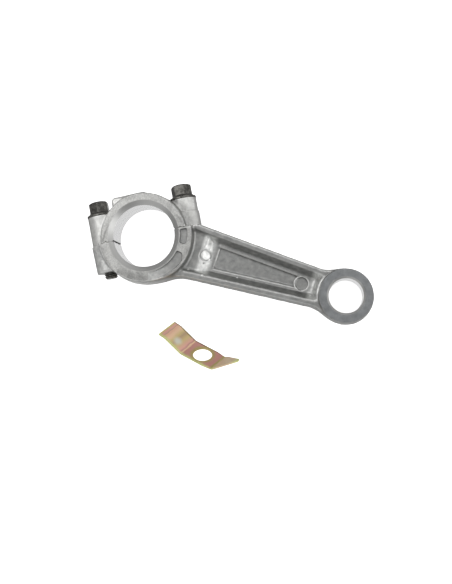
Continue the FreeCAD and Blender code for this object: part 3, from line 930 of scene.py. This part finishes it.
def machined_faces(centres, normals):
    """Which of a casting's six materials each face takes: SKIN unless a cutter or the split made it."""
    x, y, z = centres.T
    flat = (np.abs(np.abs(z) - FACE_Z) < 0.02) & (np.abs(normals[:, 2]) > 0.99)
    from_pin = np.hypot(x - PIN_X, y)
    radius = np.hypot(x, y)
    index = np.full(len(x), SKIN)
    index[flat] = BIG_FACE
    index[flat & (from_pin < 20)] = SMALL_FACE
    for centre_x, away, chamfer_r in ((0, radius, CRANK_CHAMFER_R), (PIN_X, from_pin, PIN_CHAMFER_R)):
        inward = -(normals[:, 0] * (x - centre_x) + normals[:, 1] * y) / np.maximum(away, 1e-6)
        index[(away < chamfer_r + 0.05) & (inward > 0.2)] = BORE
    index[(index == BORE) & (np.abs(normals[:, 2]) > 0.2)] = CHAMFER
    outward = x * OUTWARD.x + y * OUTWARD.y
    across = np.abs(normals[:, 0] * OUTWARD.x + normals[:, 1] * OUTWARD.y)
    # Faces of the split near the bore take the nearly black crack material: painted shade
    index[(np.abs(outward - SEAM_LEVEL) < 1.2) & (across > 0.5) & (radius < CRANK_R + 1)] = CRACK_SHADE
    return index


def floor():
    """A wide white floor, level with the lowest point of the object."""
    mesh = bpy.data.meshes.new("floor")
    low = CAD_BOX[0][2]
    corners = [(x * FLOOR_SIDE, y * FLOOR_SIDE, low) for x, y in ((-1, -1), (1, -1), (1, 1), (-1, 1))]
    mesh.from_pydata(corners, [], [(0, 1, 2, 3)])
    piece = bpy.data.objects.new("floor", mesh)
    bpy.context.scene.collection.objects.link(piece)
    n = Nodes("white_floor")
    glow = {"Emission_Color": (1, 1, 1, 1), "Emission_Strength": FLOOR_GLOW}
    piece.data.materials.append(n.surface(Base_Color=(0.9, 0.9, 0.9, 1), Roughness=0.9, **glow))
    piece.visible_glossy = False


def sky():
    """Soft light from every side: an even level with wide soft lobes added to it."""
    world = bpy.data.worlds.new("studio")
    bpy.context.scene.world = world
    world.use_nodes = True
    tree = world.node_tree
    background = tree.nodes["Background"]
    place = tree.nodes.new("ShaderNodeTexCoord").outputs["Generated"]
    total = None
    for direction, half_angle, level in SKY_LOBES:
        dot = tree.nodes.new("ShaderNodeVectorMath")
        dot.operation = "DOT_PRODUCT"
        tree.links.new(place, dot.inputs[0])
        dot.inputs[1].default_value = Vector(direction).normalized()
        soft = tree.nodes.new("ShaderNodeMapRange")
        soft.interpolation_type = "SMOOTHSTEP"
        tree.links.new(dot.outputs["Value"], soft.inputs["Value"])
        soft.inputs["From Min"].default_value = math.cos(math.radians(half_angle))
        soft.inputs["From Max"].default_value = math.cos(math.radians(half_angle * LOBE_CORE))
        soft.inputs["To Min"].default_value = 0
        soft.inputs["To Max"].default_value = level
        added = tree.nodes.new("ShaderNodeMath")
        added.operation = "ADD"
        tree.links.new(soft.outputs["Result"], added.inputs[0])
        if total is None:
            added.inputs[1].default_value = SKY_LEVEL
        else:
            tree.links.new(total, added.inputs[1])
        total = added.outputs[0]
    tree.links.new(total, background.inputs["Strength"])
    background.inputs["Color"].default_value = (1, 1, 1, 1)


def soft_panel(name, centre_mm, side_mm, level):
    """A square panel of that radiance, facing the middle of the rod."""
    data = bpy.data.lights.new(name, "AREA")
    data.shape = "SQUARE"
    data.size = side_mm * MM
    data.energy = level * math.pi * data.size ** 2
    panel = bpy.data.objects.new(name, data)
    panel.location = Vector(centre_mm) * MM
    aim = Vector(PANEL_AIM) * MM - panel.location
    panel.rotation_euler = aim.to_track_quat("-Z", "Y").to_euler()
    bpy.context.scene.collection.objects.link(panel)


def camera():
    """The view from above the rod, tilted a little towards its big end."""
    data = bpy.data.cameras.new("camera")
    data.sensor_fit = "AUTO"
    data.sensor_width = 36
    data.lens = CAMERA_LENS
    data.clip_start = 0.01
    view = bpy.data.objects.new("camera", data)
    view.location = Vector(CAMERA_AT) * MM
    view.rotation_euler = [math.radians(angle) for angle in CAMERA_TURN]
    bpy.context.scene.collection.objects.link(view)
    bpy.context.scene.camera = view


def dress_castings(rod, cap):
    """Each casting's own skin, and the machined finishes and the painted shade of the crack that both share."""
    shared = [
        faced_aluminium("big_end_face", BIG_FACE_DARK, BIG_FACE_LIGHT, 0.42),
        faced_aluminium("small_end_face", SMALL_FACE_DARK, SMALL_FACE_LIGHT, 0.4),
        bored_aluminium("bored", BORE_METAL, 0.28),
        bored_aluminium("chamfer", CHAMFER_METAL, 0.38),
        cast_aluminium("crack_shade", CRACK_SHADE_DARK, CRACK_SHADE_LIGHT),
    ]
    rod_skin = cast_aluminium("rod_skin", ROD_DARK, ROD_LIGHT, (BIG_END_SPAN, SLOPE_SPAN, RISE_SPAN))
    # The cap's paler skin is painted light, and it takes painted shade beside its ring
    cap_skin = cast_aluminium("cap_skin", CAP_DARK, CAP_LIGHT, ring_shade=CAP_RING_SHADE)
    dress(rod, [rod_skin, *shared], machined_faces)
    dress(cap, [cap_skin, *shared], machined_faces)


def dress_dipper(dipper):
    """The dipper keeps the CAD's shape. It takes its zinc, and its edges are eased."""
    dress(dipper, [yellow_zinc()])
    edges = dipper.modifiers.new("edges", "BEVEL")
    edges.width = DIPPER_EDGE * MM
    edges.segments = 3
    edges.limit_method = "ANGLE"
    edges.angle_limit = math.radians(40)


def studio():
    """Floor, lights and camera."""
    floor()
    sky()
    for name, (centre, side, level) in PANELS.items():
        soft_panel(name, centre, side, level)
    camera()
    bpy.context.scene.view_settings.view_transform = "Standard"


def main():
    """Makes the four remade pieces, sets each on its body, and dresses everything."""
    rod, cap = rod_casting(), cap_casting()
    outer = flange_bolt("outer_bolt", JOINTS["outer_bolt_turn"], OUTER_HEX_TURN)
    inner = flange_bolt("inner_bolt", JOINTS["inner_bolt_turn"], INNER_HEX_TURN)
    dress_castings(rod, cap)
    black = black_oxide()
    dress(outer, [black])
    dress(inner, [black])
    pieces = (
        (rod, "rod_body", "rod", "rod_casting"),
        (cap, "bearing_cap", "cap", "cap_casting"),
        (outer, "cap_bolt_outer", "outer_bolt", "black_steel"),
        (inner, "cap_bolt_inner", "inner_bolt", "black_steel"),
    )
    for piece, node, body, slot in pieces:
        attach(piece, body)
        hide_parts(node)
        smooth(piece)
    dress_dipper(frame["nodes"]["oil_dipper"])
    studio()


main()
